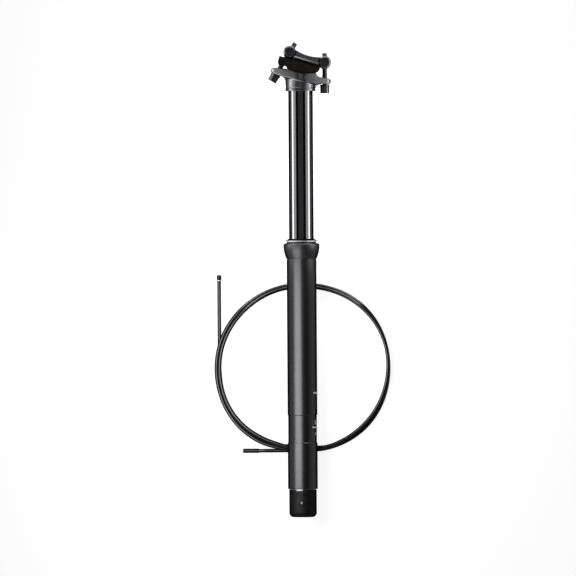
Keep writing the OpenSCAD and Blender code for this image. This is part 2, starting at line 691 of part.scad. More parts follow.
// A clamp bolt along its own axis, from its round-seated head to its tip past the barrel nut
module clamp_bolt(reach, tip) {
    head_r = bolt_head_d / 2;
    head_end = -reach - head_drop;
    ball_z = -reach - ball_drop;
    translate([0, 0, ball_z]) cylinder(r = bolt_d / 2, h = tip - ball_z - 0.5);
    translate([0, 0, tip - 0.5]) cylinder(r1 = bolt_d / 2, r2 = bolt_d / 2 - 0.5, h = 0.5);
    difference() {
        union() {
            intersection() {
                translate([0, 0, ball_z]) cylinder(r = head_r, h = ball_r);
                translate([0, 0, ball_z]) sphere(r = ball_r);
            }
            translate([0, 0, head_end + 0.4]) cylinder(r = head_r, h = ball_z - head_end - 0.4 + eps);
            translate([0, 0, head_end]) cylinder(r1 = head_r - 0.4, r2 = head_r, h = 0.4);
        }
        translate([0, 0, head_end - eps]) cylinder(r = 2.35, h = 2.6, $fn = 6);
    }
}

module front_bolt() {
    color([0.16, 0.16, 0.17]) on_bolt(front_barrel, 0) clamp_bolt(front_reach, front_bolt_tip);
}

module rear_bolt() {
    color([0.16, 0.16, 0.17]) on_bolt(rear_barrel, rear_lean) clamp_bolt(rear_reach, rear_bolt_tip);
}

// A cross barrel whose hole runs along its bolt
module barrel_nut() {
    end_y = sleeve_half_len - 0.6;
    difference() {
        cross_rod(barrel_d / 2, end_y);
        cylinder(r = bolt_d / 2 + 0.42, h = 2 * barrel_d, center = true);
        for (side = [-1, 1]) translate([0, side * (end_y + 0.1), 0]) cross_rod(barrel_d / 2 - 0.9, 0.7);
    }
}

module front_barrel_nut() {
    color([0.12, 0.12, 0.13]) on_bolt(front_barrel, 0) barrel_nut();
}

module rear_barrel_nut() {
    color([0.12, 0.12, 0.13]) on_bolt(rear_barrel, rear_lean) barrel_nut();
}

// Both rails' round channels, along the clamp
module rail_channels() {
    for (side = [-1, 1]) translate([-40, side * rail_y, rail_n]) rotate([0, 90, 0]) cylinder(r = rail_r, h = 80);
}

// Underside of the yoke's bridge, and half the length of the cradle's pad below it
bridge_n = -2.2;
pad_u = barrel_u - 7.5;
// Inner side of the tail's cheeks, just outside the head's plate
cheek_y = plate_w / 2 + 0.7;

// Side view of the cradle, with its curved underside
module cradle_outline(under_r) {
    difference() {
        translate([cradle_rear_u, -20]) square([clamp_front_u - cradle_rear_u, cradle_n + 20]);
        difference() {
            translate([-60, -60]) square([120, 60]);
            translate([seat_u, seat_n]) circle(r = under_r, $fn = 180);
        }
    }
}

module rail_cradle() {
    boss_half_w = 15;
    pad_half_w = 14.5;
    foot_low = -16.5;
    arch = [-19.8, -17.2];
    tail_half_w = cradle_half_w - 2;
    bolt_room = bolt_d / 2 + 1.7;
    beyond = 12;
    color([0.15, 0.13, 0.12]) in_clamp() difference() {
        union() {
            across(2 * boss_half_w) cradle_outline(seat_r);
            across(2 * cradle_half_w) cradle_outline(seat_r - 1.5);
            // End wall behind the rear bolt
            across(2 * tail_half_w) polygon([
                [cradle_rear_u, cradle_n], [cradle_rear_u, foot_low + 3], [cradle_rear_u + 2, foot_low],
                [cradle_rear_u + 4.5, foot_low], [cradle_rear_u + 4.5, cradle_n]]);
            // Cheeks that carry the tail's foot forward, outside the head's plate
            for (side = [-1, 1]) translate([0, side * (tail_half_w + cheek_y) / 2, 0])
                across(tail_half_w - cheek_y) polygon([
                    [cradle_rear_u + 4, cradle_n - 1], [cradle_rear_u + 4, foot_low], [arch[0] + 2.6, foot_low],
                    [arch[0] + 4, cradle_n - 1]]);
            // Low pad between the rails, and a higher one under the yoke's bridge
            translate([cradle_rear_u + 6, -pad_half_w, cradle_n - 2])
                cube([clamp_front_u - cradle_rear_u - 6.4, 2 * pad_half_w, jaw_n - loose - cradle_n + 2]);
            translate([-pad_u, -pad_half_w, cradle_n - 2])
                cube([2 * pad_u, 2 * pad_half_w, bridge_n - loose - cradle_n + 2]);
        }
        rail_channels();
        // Arch through the tail, and the rear bolt's way
        translate([arch[0], 0, arch[1]]) cross_rod(2.2, cradle_half_w + 1);
        translate([cradle_rear_u - 1, -bolt_room, -20]) cube([-14 - cradle_rear_u, 2 * bolt_room, 20]);
        // Room under the yoke's sleeves
        for (u = [-barrel_u, barrel_u]) translate([u, 0, 0])
            cross_rod(sleeve_d / 2 + loose, sleeve_half_len + loose);
        // Step along each outer side
        for (side = [-1, 1]) translate([cradle_rear_u - 1, side * (cradle_half_w + 4) - 5, cradle_n - 2.2])
            cube([clamp_front_u - cradle_rear_u + 2, 10, 4]);
        // Slanted front end
        translate([clamp_front_u, 0, cradle_n]) rotate([0, 17, 0])
            translate([0, -cradle_half_w - 1, -beyond]) cube([beyond, 2 * cradle_half_w + 2, beyond + 4]);
    }
}

module rail_yoke() {
    color([0.17, 0.17, 0.18]) in_clamp() difference() {
        union() {
            yoke_bridge();
            for (u = [-barrel_u, barrel_u]) translate([u, 0, 0]) yoke_sleeve();
        }
        rail_channels();
        for (u = [-barrel_u, barrel_u]) translate([u, 0, 0]) cross_rod(barrel_d / 2 + running, sleeve_half_len + 1);
        yoke_slot(-barrel_u, rear_lean - clamp_tilt);
        yoke_slot(barrel_u, -clamp_tilt);
    }
}

// A cross sleeve with beveled ends
module yoke_sleeve() {
    r = sleeve_d / 2;
    bevel = 0.9;
    rotate([90, 0, 0]) rotate_extrude() polygon([
        [0, -sleeve_half_len], [r - bevel, -sleeve_half_len], [r, bevel - sleeve_half_len],
        [r, sleeve_half_len - bevel], [r - bevel, sleeve_half_len], [0, sleeve_half_len]]);
}

// Bridge between the sleeves, with a hollow top and a jaw over each rail
module yoke_bridge() {
    top_n = 3.5;
    hollow_r = 45;
    hollow_depth = 1.8;
    bevel = 2.4;
    inner_y = rail_y - rail_r - 2.4;
    difference() {
        translate([jaw_rear_u, -jaw_y, jaw_n]) cube([jaw_front_u - jaw_rear_u, 2 * jaw_y, top_n - jaw_n]);
        translate([0, 0, top_n - hollow_depth + hollow_r]) cross_rod(hollow_r, jaw_y + 1);
        translate([-pad_u - 0.5, -inner_y, jaw_n - 1]) cube([2 * pad_u + 1, 2 * inner_y, bridge_n - jaw_n + 1]);
        for (side = [-1, 1]) {
            // Bevel along each jaw's lower outer edge
            translate([0, side * jaw_y, jaw_n]) rotate([45, 0, 0])
                cube([2 * barrel_span, bevel, bevel], center = true);
            // The jaws' ends are cut round the sleeves' ends
            for (u = [-barrel_u, barrel_u]) translate([u, side * (sleeve_half_len + 9), 0])
                cross_rod(sleeve_d / 2 + 0.3, 10);
        }
    }
}

// Slot through a sleeve that lets its bolt lean
module yoke_slot(u, lean) {
    half_w = bolt_d / 2 + 1.5;
    half_len = bolt_d / 2 + 0.7;
    translate([u, 0, 0]) rotate([0, lean, 0])
        translate([-half_w, -half_len, -sleeve_d]) cube([2 * half_w, 2 * half_len, 2 * sleeve_d]);
}

module long_housing_coil() {
    color([0.05, 0.05, 0.05]) swept_tube(long_path, 6);
}

module long_housing_tail() {
    color([0.05, 0.05, 0.05]) swept_tube(on_table(long_tail_route), 8);
}

module short_housing_coil() {
    color([0.05, 0.05, 0.05]) swept_tube(short_path, 6);
}

module short_housing_tail() {
    color([0.05, 0.05, 0.05]) swept_tube(on_table(short_tail_route), 8);
}

// A ferrule from its open end at a point, pointing the way given in the table's plane
module ferrule(point, turn, d, length) {
    nose = 0.5;
    translate(point) rotate([0, 0, turn]) rotate([0, 90, 0]) {
        cylinder(r = d / 2, h = length - nose);
        translate([0, 0, length - nose]) cylinder(r1 = d / 2, r2 = d / 2 - nose, h = nose);
    }
}

module long_tail_ferrule() {
    color([0.08, 0.08, 0.08]) ferrule(on_table(long_tail_route)[0], 90, ferrule_d, ferrule_len);
}

module long_end_ferrule() {
    color([0.08, 0.08, 0.08]) ferrule(long_path[len(long_path) - 1], 0, ferrule_d, ferrule_len);
}

module short_tail_ferrule() {
    color([0.08, 0.08, 0.08]) ferrule(on_table(short_tail_route)[0], 180, long_ferrule_d, long_ferrule_len);
}

module short_end_ferrule() {
    color([0.08, 0.08, 0.08]) ferrule(short_path[len(short_path) - 1], 0, ferrule_d, ferrule_len);
}

lower_tube();
seal_collar();
wiper_seal();
seal_ring();
upper_bushing();
lower_end_cap();
rod_nut();
cartridge_rod();
rod_piston();
bottom_bumper();
actuator_housing();
actuator_pin();
actuator_lever();
valve_pin();
upper_tube();
post_head();
guide_keys();
lower_bushing();
top_out_bumper();
tube_end_ring();
cartridge_cylinder();
cylinder_gland();
gland_circlip();
cylinder_cap();
floating_piston();
front_washer();
rear_washer();
rail_cradle();
rail_yoke();
front_barrel_nut();
rear_barrel_nut();
front_bolt();
rear_bolt();
long_housing_coil();
long_housing_tail();
long_tail_ferrule();
long_end_ferrule();
short_housing_coil();
short_housing_tail();
short_tail_ferrule();
short_end_ferrule();
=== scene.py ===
import math

import bmesh
import bpy
import numpy
from mathutils import Matrix, Vector


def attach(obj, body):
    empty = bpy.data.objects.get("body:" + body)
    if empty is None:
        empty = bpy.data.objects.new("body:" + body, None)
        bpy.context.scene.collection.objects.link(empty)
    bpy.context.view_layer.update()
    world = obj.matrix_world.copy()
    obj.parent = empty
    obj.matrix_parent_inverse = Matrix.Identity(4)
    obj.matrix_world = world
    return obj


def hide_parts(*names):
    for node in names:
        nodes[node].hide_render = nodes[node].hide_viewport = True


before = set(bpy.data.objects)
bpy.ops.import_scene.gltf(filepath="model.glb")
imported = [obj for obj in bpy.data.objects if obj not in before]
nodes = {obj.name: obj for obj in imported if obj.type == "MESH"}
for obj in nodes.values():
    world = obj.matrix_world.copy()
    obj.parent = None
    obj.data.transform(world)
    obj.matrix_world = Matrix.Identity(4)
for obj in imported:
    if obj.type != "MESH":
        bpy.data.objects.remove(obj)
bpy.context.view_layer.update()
scene = bpy.context.scene
MM = 0.001
ALONG = Vector((0, 1, 0))
UP = Vector((0, 0, 1))

# Camera: straight above the table and far off, as in the photograph
CAMERA_HEIGHT = 12.0
VIEW_WIDTH = 0.6106
VIEW_CENTRE = (-14.5 * MM, -30.2 * MM)
VIEW_TURN = math.radians(-0.36)
SENSOR_WIDTH = 36
camera_data = bpy.data.cameras.new("camera")
camera_data.sensor_width = SENSOR_WIDTH
camera_data.lens = SENSOR_WIDTH * CAMERA_HEIGHT / VIEW_WIDTH
camera_data.clip_end = 60
camera = bpy.data.objects.new("camera", camera_data)
camera.location = (*VIEW_CENTRE, CAMERA_HEIGHT)
camera.rotation_euler = (0, 0, VIEW_TURN)
scene.collection.objects.link(camera)
scene.camera = camera


# Routes of the two cable housings, the same points as in the part's source
TABLE_Z = -30.0
CABLE_R = 2.0
LAYER_PITCH = 4.45
LOOP_CENTRE = (0.4, -115.0)
LOOP_R = 90.9
LOOP_OVAL = 1.5
LOOP_SQUARE = 0.9
LOOP_FLAT = 1.9
LOOP_STEP = 15
LONG_START = 180
SHORT_START = 285
LOOP_END = 615
# How far inside the loops' outline, and in which layer from the table up, by angle
LONG_INSET = [(180, 3.4), (240, 3.4), (255, 3.6), (270, 5.6), (285, 1.8), (320, 3.4), (365, 0.2),
              (375, 0.2), (410, 2.2), (470, 2.4), (500, 3.4), (560, 3.4), (600, 4.8), (615, 4.0)]
SHORT_INSET = [(285, 0), (600, 0), (615, 0.8)]
LONG_LAYER = [(180, 0), (270, 0), (285, 1), (450, 1), (525, 2), (615, 2)]
SHORT_LAYER = [(285, 0), (465, 0), (525, 1), (615, 1)]
# The tails, with heights above the table
LONG_TAIL = [(-87.7, -21.5, 2.5), (-87.7, -26, 2.5), (-87.7, -36, 2.3), (-87.7, -48, 2.1), (-87.7, -62, 2.0),
             (-87.7, -76, 2.0), (-87.7, -88, 2.0)]
SHORT_TAIL = [(-46.4, -202.9, 2.4), (-42, -202.9, 2.4), (-32, -202.9, 2.1), (-24, -202.9, 2.0),
              (-14, -202.9, 2.0)]


def lookup(value, pairs):
    """The value between neighbouring pairs, in straight steps"""
    for (a, p), (b, q) in zip(pairs, pairs[1:]):
        if value <= b:
            return p + (q - p) * max(0.0, value - a) / (b - a)
    return pairs[-1][1]


def outline_r(a):
    """Radius of the loops' outline: slightly oval and squarish, with one flatter quarter"""
    b = a % 360
    flat = LOOP_FLAT * math.sin(math.radians(2 * (b - 90))) ** 2 if 90 < b < 180 else 0
    oval = LOOP_OVAL * math.cos(math.radians(2 * a))
    square = LOOP_SQUARE * math.cos(math.radians(4 * a))
    return LOOP_R + oval - square - flat


def layer_z(n):
    return TABLE_Z + CABLE_R + n * LAYER_PITCH


def loops(start, insets, layers):
    points = []
    for a in range(start, LOOP_END + 1, LOOP_STEP):
        r = outline_r(a) - lookup(a, insets)
        points.append((LOOP_CENTRE[0] + r * math.cos(math.radians(a)),
                       LOOP_CENTRE[1] + r * math.sin(math.radians(a)), layer_z(lookup(a, layers))))
    return points


def on_table(route):
    return [(x, y, z + TABLE_Z) for x, y, z in route]


long_route = (on_table(LONG_TAIL) + [(-87.7, -94, layer_z(0)), (-87.7, -98, layer_z(0))]
              + loops(LONG_START, LONG_INSET, LONG_LAYER)
              + [(-14.6, -198.6, layer_z(2)), (-6.4, -198.6, layer_z(2))])
short_route = (on_table(SHORT_TAIL) + [(-5, -202.9, layer_z(0)), (-1, -202.9, layer_z(0))]
               + loops(SHORT_START, SHORT_INSET, SHORT_LAYER)
               + [(-10, -201, layer_z(1)), (-5, -201, layer_z(1))])


def cord_curve(name, route):
    """A smooth round cord from the last point of a route to its first"""
    data = bpy.data.curves.new(name, "CURVE")
    data.dimensions = "3D"
    data.resolution_u = 6
    data.bevel_depth = CABLE_R * MM
    data.bevel_resolution = 5
    data.use_fill_caps = True
    points = [Vector(place) * MM for place in reversed(route)]
    spline = data.splines.new("BEZIER")
    spline.bezier_points.add(len(points) - 1)
    for i, (point, place) in enumerate(zip(spline.bezier_points, points)):
        before = points[max(i - 1, 0)]
        after = points[min(i + 1, len(points) - 1)]
        way = after - before
        # Level at every crest and flat, so that the cord never dips below the table
        if (place.z - before.z) * (after.z - place.z) < 1e-12:
            way.z = 0
        way.normalize()
        point.handle_left_type = "FREE"
        point.handle_right_type = "FREE"
        point.co = place
        point.handle_left = place - way * (place - before).length / 3
        point.handle_right = place + way * (after - place).length / 3
    piece = bpy.data.objects.new(name, data)
    scene.collection.objects.link(piece)
    return piece


long_housing = cord_curve("long_housing", long_route)
short_housing = cord_curve("short_housing", short_route)


# Materials: a slightly mottled colour and roughness under a fine bump
MOTTLE_SCALE = 180


def noise(tree, coords, scale, detail, stretch=None):
    source = coords
    if stretch:
        mapping = tree.nodes.new("ShaderNodeMapping")
        mapping.inputs["Scale"].default_value = stretch
        tree.links.new(coords, mapping.inputs["Vector"])
        source = mapping.outputs["Vector"]
    node = tree.nodes.new("ShaderNodeTexNoise")
    node.inputs["Scale"].default_value = scale
    node.inputs["Detail"].default_value = detail
    tree.links.new(source, node.inputs["Vector"])
    return node.outputs["Fac"]


def spread(tree, value, low, high, socket):
    """Spreads the middle of a noise between two values"""
    node = tree.nodes.new("ShaderNodeMapRange")
    node.inputs["From Min"].default_value = 0.3
    node.inputs["From Max"].default_value = 0.7
    node.inputs["To Min"].default_value = low
    node.inputs["To Max"].default_value = high
    tree.links.new(value, node.inputs["Value"])
    tree.links.new(node.outputs["Result"], socket)


def ramp(tree, value, stops, socket):
    node = tree.nodes.new("ShaderNodeValToRGB")
    for element, (position, colour) in zip(node.color_ramp.elements, stops):
        element.position = position
        element.color = (*colour, 1)
    tree.links.new(value, node.inputs["Fac"])
    tree.links.new(node.outputs["Color"], socket)


def bump(tree, value, depth, socket):
    node = tree.nodes.new("ShaderNodeBump")
    node.inputs["Distance"].default_value = depth
    node.inputs["Strength"].default_value = 1.0
    tree.links.new(value, node.inputs["Height"])
    tree.links.new(node.outputs["Normal"], socket)


def shades(colour, change):
    return [(0.3, [c * (1 - change) for c in colour]), (0.7, [c * (1 + change) for c in colour])]


def plain(name, colour, roughness, metallic=0.0, tint=None, change=0.25, grain=2600, depth=2e-6,
          rough_change=0.06, stretch=None):
    material = bpy.data.materials.new(name)
    material.use_nodes = True
    tree = material.node_tree
    principled = tree.nodes["Principled BSDF"]
    principled.inputs["Metallic"].default_value = metallic
    if tint is not None:
        principled.inputs["Specular Tint"].default_value = (*tint, 1)
    coords = tree.nodes.new("ShaderNodeTexCoord").outputs["Object"]
    ramp(tree, noise(tree, coords, MOTTLE_SCALE, 3), shades(colour, change), principled.inputs["Base Color"])
    spread(tree, noise(tree, coords, MOTTLE_SCALE * 2.3, 4), roughness - rough_change,
           roughness + rough_change, principled.inputs["Roughness"])
    bump(tree, noise(tree, coords, grain, 2, stretch), depth, principled.inputs["Normal"])
    return material


# A metal with a black tint is a dark finish that doesn't turn pale at its edges
BLACK = (0, 0, 0)
NEAR_BLACK = (0.1, 0.1, 0.1)
DRAWN = (1.0, 0.03, 1.0)
TURNED = (0.05, 1.0, 0.05)
MATERIALS = {
    "satin_black_tube": plain("satin_black_tube", (0.048, 0.048, 0.05), 0.32, 1.0, BLACK, 0.03, grain=5200,
                              depth=6e-7, rough_change=0.02),
    "gloss_black_tube": plain("gloss_black_tube", (0.052, 0.052, 0.054), 0.06, 1.0, BLACK, 0.03, grain=900,
                              depth=1e-7, rough_change=0.015),
    "collar_black": plain("collar_black", (0.036, 0.036, 0.038), 0.4, 1.0, BLACK, 0.08, grain=4200,
                          stretch=TURNED),
    "seal_rubber": plain("seal_rubber", (0.004, 0.004, 0.004), 0.62, 1.0, BLACK, 0.2, grain=3000, depth=4e-6),
    "bright_ring": plain("bright_ring", (0.15, 0.15, 0.155), 0.5, 0.5, change=0.04, grain=5000, depth=4e-7,
                         stretch=TURNED),
    "bushing_polymer": plain("bushing_polymer", (0.3, 0.28, 0.22), 0.5, change=0.15),
    "bare_alloy": plain("bare_alloy", (0.55, 0.56, 0.58), 0.3, 1.0, change=0.05, grain=5000, depth=3e-6,
                        stretch=TURNED),
    "steel_rod": plain("steel_rod", (0.58, 0.58, 0.6), 0.18, 1.0, change=0.04, grain=4000, depth=1e-6,
                       stretch=DRAWN),
    "housing_black": plain("housing_black", (0.016, 0.016, 0.017), 0.55, 1.0, BLACK, 0.2, grain=2400,
                           depth=6e-6),
    "head_black": plain("head_black", (0.045, 0.045, 0.047), 0.35, 1.0, NEAR_BLACK, 0.12, depth=6e-6),
    "pin_steel": plain("pin_steel", (0.24, 0.24, 0.25), 0.45, 1.0, change=0.06, grain=5200, depth=3e-6),
    "cap_alloy": plain("cap_alloy", (0.2, 0.2, 0.21), 0.4, 1.0, change=0.06, grain=5200, depth=3e-6,
                       stretch=TURNED),
    "brass_keys": plain("brass_keys", (0.7, 0.48, 0.2), 0.3, 1.0, change=0.06),
    "dark_steel": plain("dark_steel", (0.024, 0.024, 0.025), 0.33, 1.0, NEAR_BLACK, 0.15, grain=3500,
                        depth=3e-6),
    "cradle_black": plain("cradle_black", (0.012, 0.0095, 0.008), 0.5, 1.0, BLACK, grain=2200, depth=6e-6),
    "cable_jacket": plain("cable_jacket", (0.036, 0.036, 0.037), 0.18, 1.0, BLACK, 0.1, depth=8e-7,
                          rough_change=0.03),
    "etched_alloy": plain("etched_alloy", (0.5, 0.5, 0.51), 0.55, change=0.15, grain=3000),
    "ferrule_black": plain("ferrule_black", (0.018, 0.018, 0.019), 0.3, 1.0, BLACK, 0.1),
}
NODES_IN = {
    "satin_black_tube": ["lower_tube"],
    "gloss_black_tube": ["upper_tube"],
    "collar_black": ["seal_collar"],
    "seal_rubber": ["wiper_seal", "bottom_bumper", "top_out_bumper"],
    "bright_ring": ["seal_ring", "rod_nut"],
    "bushing_polymer": ["upper_bushing", "lower_bushing"],
    "bare_alloy": ["rod_piston", "actuator_lever", "tube_end_ring", "cartridge_cylinder", "cylinder_gland",
                   "cylinder_cap", "floating_piston"],
    "steel_rod": ["cartridge_rod", "valve_pin"],
    "housing_black": ["actuator_housing"],
    "head_black": ["post_head", "rail_yoke"],
    "pin_steel": ["actuator_pin"],
    "cap_alloy": ["lower_end_cap"],
    "brass_keys": ["guide_keys"],
    "dark_steel": ["gland_circlip", "front_washer", "rear_washer", "front_barrel_nut", "rear_barrel_nut",
                   "front_bolt", "rear_bolt"],
    "cradle_black": ["rail_cradle"],
    "cable_jacket": ["long_housing_coil", "long_housing_tail", "short_housing_coil", "short_housing_tail"],
    "ferrule_black": ["long_tail_ferrule", "long_end_ferrule", "short_tail_ferrule", "short_end_ferrule"],
}
for material, names in NODES_IN.items():
    for name in names:
        mesh = nodes[name].data
        mesh.materials.clear()
        mesh.materials.append(MATERIALS[material])


def soften(name, width):
    """Small bevels on a node's edges, over faces joined where they are flat"""
    piece = nodes[name]
    piece.data.polygons.foreach_set("use_smooth", [True] * len(piece.data.polygons))
    weld = piece.modifiers.new("weld", "WELD")
    weld.merge_threshold = 2e-6
    flat = piece.modifiers.new("flat", "DECIMATE")
    flat.decimate_type = "DISSOLVE"
    flat.angle_limit = math.radians(0.4)
    bevel = piece.modifiers.new("bevel", "BEVEL")
    bevel.width = width * MM
    bevel.segments = 2
    bevel.limit_method = "ANGLE"
    bevel.angle_limit = math.radians(26)
    normals = piece.modifiers.new("normals", "WEIGHTED_NORMAL")
    normals.keep_sharp = True


for name, width in (("rail_yoke", 0.3), ("rail_cradle", 0.3), ("actuator_housing", 0.25), ("front_bolt", 0.2),
                    ("rear_bolt", 0.2)):
    soften(name, width)


def dress(piece, material, body):
    """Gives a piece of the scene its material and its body"""
    piece.data.materials.append(MATERIALS[material])
    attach(piece, body)


def from_points(name, points, faces, sharp=30):
    """A closed piece from its points and faces, smooth but for edges over an angle"""
    mesh = bpy.data.meshes.new(name)
    mesh.from_pydata(points, [], faces)
    work = bmesh.new()
    work.from_mesh(mesh)
    bmesh.ops.recalc_face_normals(work, faces=work.faces)
    for face in work.faces:
        face.smooth = True
    for edge in work.edges:
        edge.smooth = edge.calc_face_angle(0) < math.radians(sharp)
    work.to_mesh(mesh)
    work.free()
    piece = bpy.data.objects.new(name, mesh)
    scene.collection.objects.link(piece)
    return piece


def turned(name, profile, centre, axis, steps):
    """A ring from a closed profile of radius and height, turned round an axis"""
    axis = Vector(axis).normalized()
    side = axis.orthogonal().normalized()
    across = axis.cross(side)
    count = len(profile)
    points = []
    for i in range(steps):
        a = 2 * math.pi * i / steps
        out_way = math.cos(a) * side + math.sin(a) * across
        points += [(Vector(centre) + r * out_way + h * axis) * MM for r, h in profile]
    faces = []
    for i in range(steps):
        near = i * count
        far = (i + 1) % steps * count
        faces += [(near + k, near + (k + 1) % count, far + (k + 1) % count, far + k) for k in range(count)]
    return from_points(name, points, faces)


# The saddle clamp's own sizes, the same as in the part's source
HEAD_BOTTOM = 178.4
NECK_R = 16.0
SLIDER_R = 13.1
CLAMP_TILT = math.radians(16.9)
CLAMP_CENTRE = Vector((7.35, HEAD_BOTTOM + 35.7, 0))
CLAMP_U = Vector((math.cos(CLAMP_TILT), -math.sin(CLAMP_TILT), 0))
CLAMP_N = Vector((math.sin(CLAMP_TILT), math.cos(CLAMP_TILT), 0))
BARREL_U = 19.3
REAR_BARREL = CLAMP_CENTRE - BARREL_U * CLAMP_U
FRONT_BARREL = CLAMP_CENTRE + BARREL_U * CLAMP_U
SEAT_CENTRE = CLAMP_CENTRE - 8 * CLAMP_U + 27 * CLAMP_N
SEAT_R = 45.05
REAR_LEAN = math.radians(32)
REAR_REACH = 27.05
FRONT_REACH = 23.3
BOLT_R = 2.5
# The head's plate: where its rim begins to fall away, and how it slopes across the post
RIM_Y = 196.5
RIM_SLOPE = 0.185
RIM_SLOPE_COS = 0.983
# Height of the neck's turned ring, above which the forging begins
RING_H = 3.2


def bolt_way(lean):
    return Vector((math.sin(lean), math.cos(lean), 0))


def off_axis(place, point, way):
    """Distance of every place from the line through a point"""
    reach = place - numpy.array(point)
    along = reach @ numpy.array(way)
    return numpy.linalg.norm(reach - along[:, None] * numpy.array(way), axis=1)


def smoothing_share(place):
    """How much of the rounding each place on the head gets: none on its seats, bores and spot faces"""
    seat = numpy.abs(numpy.hypot(place[:, 0] - SEAT_CENTRE.x, place[:, 1] - SEAT_CENTRE.y) - SEAT_R)
    share = numpy.clip((seat - 0.5) / 1.2, 0.0, 1.0)
    bore = numpy.hypot(place[:, 0], place[:, 2])
    share[(bore < SLIDER_R + 0.8) & (place[:, 1] < HEAD_BOTTOM + 12.5)] = 0
    for barrel, lean, reach in ((REAR_BARREL, REAR_LEAN, REAR_REACH), (FRONT_BARREL, 0.0, FRONT_REACH)):
        way = bolt_way(lean)
        away = off_axis(place, barrel, way)
        along = (place - numpy.array(barrel)) @ numpy.array(way)
        share[away < BOLT_R + 2.2] = 0
        share[(away < 6.4) & (along < 1.0 - reach)] *= 0.15
    return share


def dense_copy(name, source, voxel):
    """A copy of a node as one mesh of small, even faces"""
    piece = bpy.data.objects.new(name, source.data.copy())
    piece.data.transform(source.matrix_world)
    scene.collection.objects.link(piece)
    dense = piece.modifiers.new("dense", "REMESH")
    dense.mode = "VOXEL"
    dense.voxel_size = voxel * MM
    graph = bpy.context.evaluated_depsgraph_get()
    mesh = bpy.data.meshes.new_from_object(piece.evaluated_get(graph), depsgraph=graph)
    piece.modifiers.remove(dense)
    piece.data = mesh
    return piece


def rounded_places(mesh, rounds):
    """The head's places in millimetres, drawn towards their neighbours where it is rounded"""
    count = len(mesh.vertices)
    flat = numpy.empty(count * 3)
    mesh.vertices.foreach_get("co", flat)
    place = flat.reshape(-1, 3) / MM
    ends = numpy.empty(len(mesh.edges) * 2, dtype=int)
    mesh.edges.foreach_get("vertices", ends)
    one, other = ends.reshape(-1, 2).T
    degree = numpy.bincount(ends, minlength=count)
    share = smoothing_share(place) * 0.5
    for _ in range(rounds):
        for axis in range(3):
            line = place[:, axis]
            total = numpy.bincount(one, line[other], count) + numpy.bincount(other, line[one], count)
            place[:, axis] += share * (total / degree - line)
    return place


def lower_rim(place):
    """Lets both faces of the plate fall away towards the clamp's seat"""
    rise = numpy.clip((place[:, 1] - RIM_Y + RIM_SLOPE * place[:, 0]) * RIM_SLOPE_COS, 0, 6)
    depth = numpy.clip(numpy.abs(place[:, 2]) / 9, 0, 1) ** 2
    place[:, 2] -= numpy.sign(place[:, 2]) * depth * rise ** 2 / 20


def cut_off_below(mesh, y):
    """Takes away what lies below a height on the post, and closes the cut"""
    work = bmesh.new()
    work.from_mesh(mesh)
    cut = bmesh.ops.bisect_plane(work, geom=work.verts[:] + work.edges[:] + work.faces[:], dist=1e-7,
                                 plane_co=(0, y * MM, 0), plane_no=(0, 1, 0), clear_inner=True)
    rim = [item for item in cut["geom_cut"] if isinstance(item, bmesh.types.BMEdge)]
    bmesh.ops.triangle_fill(work, use_beauty=True, edges=rim)
    bmesh.ops.recalc_face_normals(work, faces=work.faces)
    for face in work.faces:
        face.smooth = True
    work.to_mesh(mesh)
    work.free()


def forged_head():
    """The head with the rounded rim of a forging, above its turned neck ring"""
    piece = dense_copy("head_forging", nodes["post_head"], 0.4)
    place = rounded_places(piece.data, 28)
    lower_rim(place)
    piece.data.vertices.foreach_set("co", (place * MM).ravel())
    cut_off_below(piece.data, HEAD_BOTTOM + RING_H)
    thin = piece.modifiers.new("thin", "DECIMATE")
    thin.ratio = 0.35
    return piece


head = forged_head()
head.data.materials.clear()
dress(head, "head_black", "upper")
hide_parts("post_head")
neck_ring = turned("neck_ring", [
    (SLIDER_R + 0.02, 0.3), (SLIDER_R + 0.3, 0), (NECK_R - 0.55, 0), (NECK_R - 0.2, 0.1),
    (NECK_R - 0.05, 0.3), (NECK_R, 0.6), (NECK_R, 1.8), (NECK_R - 0.3, 2.0), (NECK_R - 0.3, 2.3),
    (NECK_R, 2.5), (NECK_R, RING_H), (SLIDER_R + 0.02, RING_H)], (0, HEAD_BOTTOM, 0), ALONG, 128)
dress(neck_ring, "head_black", "upper")


def thread(name, barrel, lean, low, high, body):
    """The ridge of a bolt's thread, from one place along its axis to another"""
    pitch = 0.8
    steps = 20
    foot_r = BOLT_R - 0.08
    way = bolt_way(lean)
    side = UP.cross(way)
    count = int((high - low) / pitch * steps)
    points = []
    for i in range(count + 1):
        a = 2 * math.pi * i / steps
        out_way = math.cos(a) * side + math.sin(a) * UP
        crest = 0.26 * min(1, i / steps, (count - i) / steps)
        for shift, r in ((-0.34, foot_r), (0, foot_r + crest), (0.34, foot_r)):
            points.append((barrel + r * out_way + (low + pitch * i / steps + shift) * way) * MM)
    faces = [(0, 1, 2), (3 * count + 2, 3 * count + 1, 3 * count)]
    for i in range(count):
        for k in range(3):
            near = 3 * i + k
            next_near = 3 * i + (k + 1) % 3
            faces.append((near, near + 3, next_near + 3, next_near))
    piece = from_points(name, points, faces, 60)
    dress(piece, "dark_steel", body)


thread("front_thread", FRONT_BARREL, 0.0, -18, 9.4, "front_bolt_body")
thread("rear_thread", REAR_BARREL, REAR_LEAN, -21, 10.9, "rear_bolt_body")


